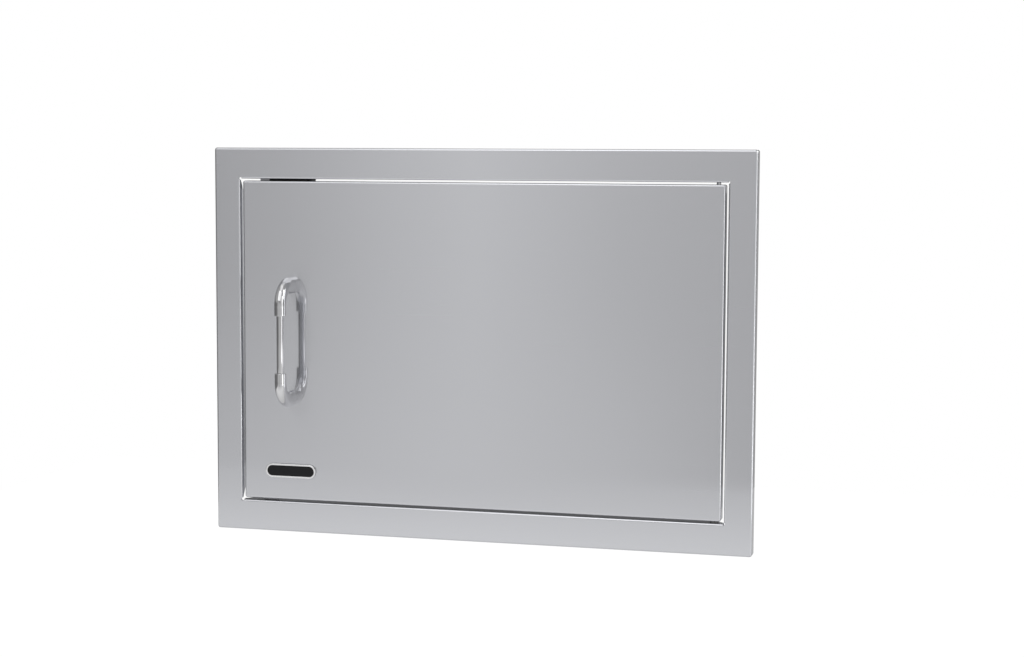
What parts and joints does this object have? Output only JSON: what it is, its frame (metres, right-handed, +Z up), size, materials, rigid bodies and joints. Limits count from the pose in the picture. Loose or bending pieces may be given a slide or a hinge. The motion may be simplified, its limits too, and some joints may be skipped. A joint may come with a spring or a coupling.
{
  "type": "bbq island access door",
  "caption": "Stainless steel access door for an outdoor kitchen island: flush horizontal door on pin hinges in a face frame, with bright pull handle and magnetic catch.",
  "frame": {"origin": "centre of the cut-out, in the plane of the island's face, where the rear rim of the flange rests", "axes": "+X to the right along the door, +Y into the island, +Z up; the front of the flange is at Y = -0.015 m and the neck ends at Y = +0.035 m"},
  "size_m": [0.6096, 0.0902, 0.4318],
  "materials": {
    "brushed_sheet": "stainless sheet, satin grain running sideways",
    "plain_sheet": "stainless sheet, mill finish with a faint grain",
    "turned_steel": "stainless, turned or cold formed, half bright",
    "magnetic_steel": "zinc-plated mild steel, satin",
    "magnet": "sintered ferrite, dark and matt",
    "bright_chrome": "polished chrome plate",
    "badge_black": "gloss black, bare",
    "catch_plastic": "moulded black plastic",
    "bearing_plastic": "dark grey bearing plastic",
    "plug_plastic": "moulded black plastic",
    "soft_rubber": "black rubber",
    "pad_foam": "dark adhesive foam"
  },
  "bodies": {
    "frame": {"face_frame": "brushed_sheet", "upper_hinge_plate": "plain_sheet", "lower_hinge_plate": "plain_sheet", "upper_hinge_bushing": "bearing_plastic", "lower_hinge_pin": "turned_steel", "lower_thrust_washer": "bearing_plastic", "catch_bracket": "plain_sheet", "catch_housing": "catch_plastic", "catch_magnet": "magnet", "catch_pole_plates": "magnetic_steel", "catch_screws": "turned_steel", "door_stop": "plain_sheet", "stop_bumper": "soft_rubber", "frame_rivets": "turned_steel"},
    "door": {"door_skin": "brushed_sheet", "door_liner": "plain_sheet", "door_stiffener": "plain_sheet", "lower_hinge_bushing": "bearing_plastic", "pin_carrier": "plain_sheet", "pin_spring": "turned_steel", "strike_plate": "magnetic_steel", "strike_rivets": "turned_steel", "handle_upper_elbow": "bright_chrome", "handle_lower_elbow": "bright_chrome", "handle_grip": "bright_chrome", "handle_screws": "turned_steel", "handle_washers": "turned_steel", "liner_plugs": "plug_plastic", "badge_pad": "pad_foam", "badge_bezel": "bright_chrome", "badge_infill": "badge_black"},
    "release_pin": {"upper_hinge_pin": "turned_steel", "pin_finger_tab": "turned_steel", "pin_retaining_clip": "turned_steel"}
  },
  "joints": [
    {"name": "door_hinge", "type": "hinge", "parent": "frame", "child": "door", "pos_m": [0.263, -0.007, 0], "axis": [0, 0, 1], "range_deg": [0, 105]},
    {"name": "hinge_pin_release", "type": "slide", "parent": "door", "child": "release_pin", "axis": [0, 0, -1], "range_m": [0, 0.0085], "stiffness_N_per_m": 260, "springref_m": -0.008, "deforming": ["pin_spring"]}
  ]
}
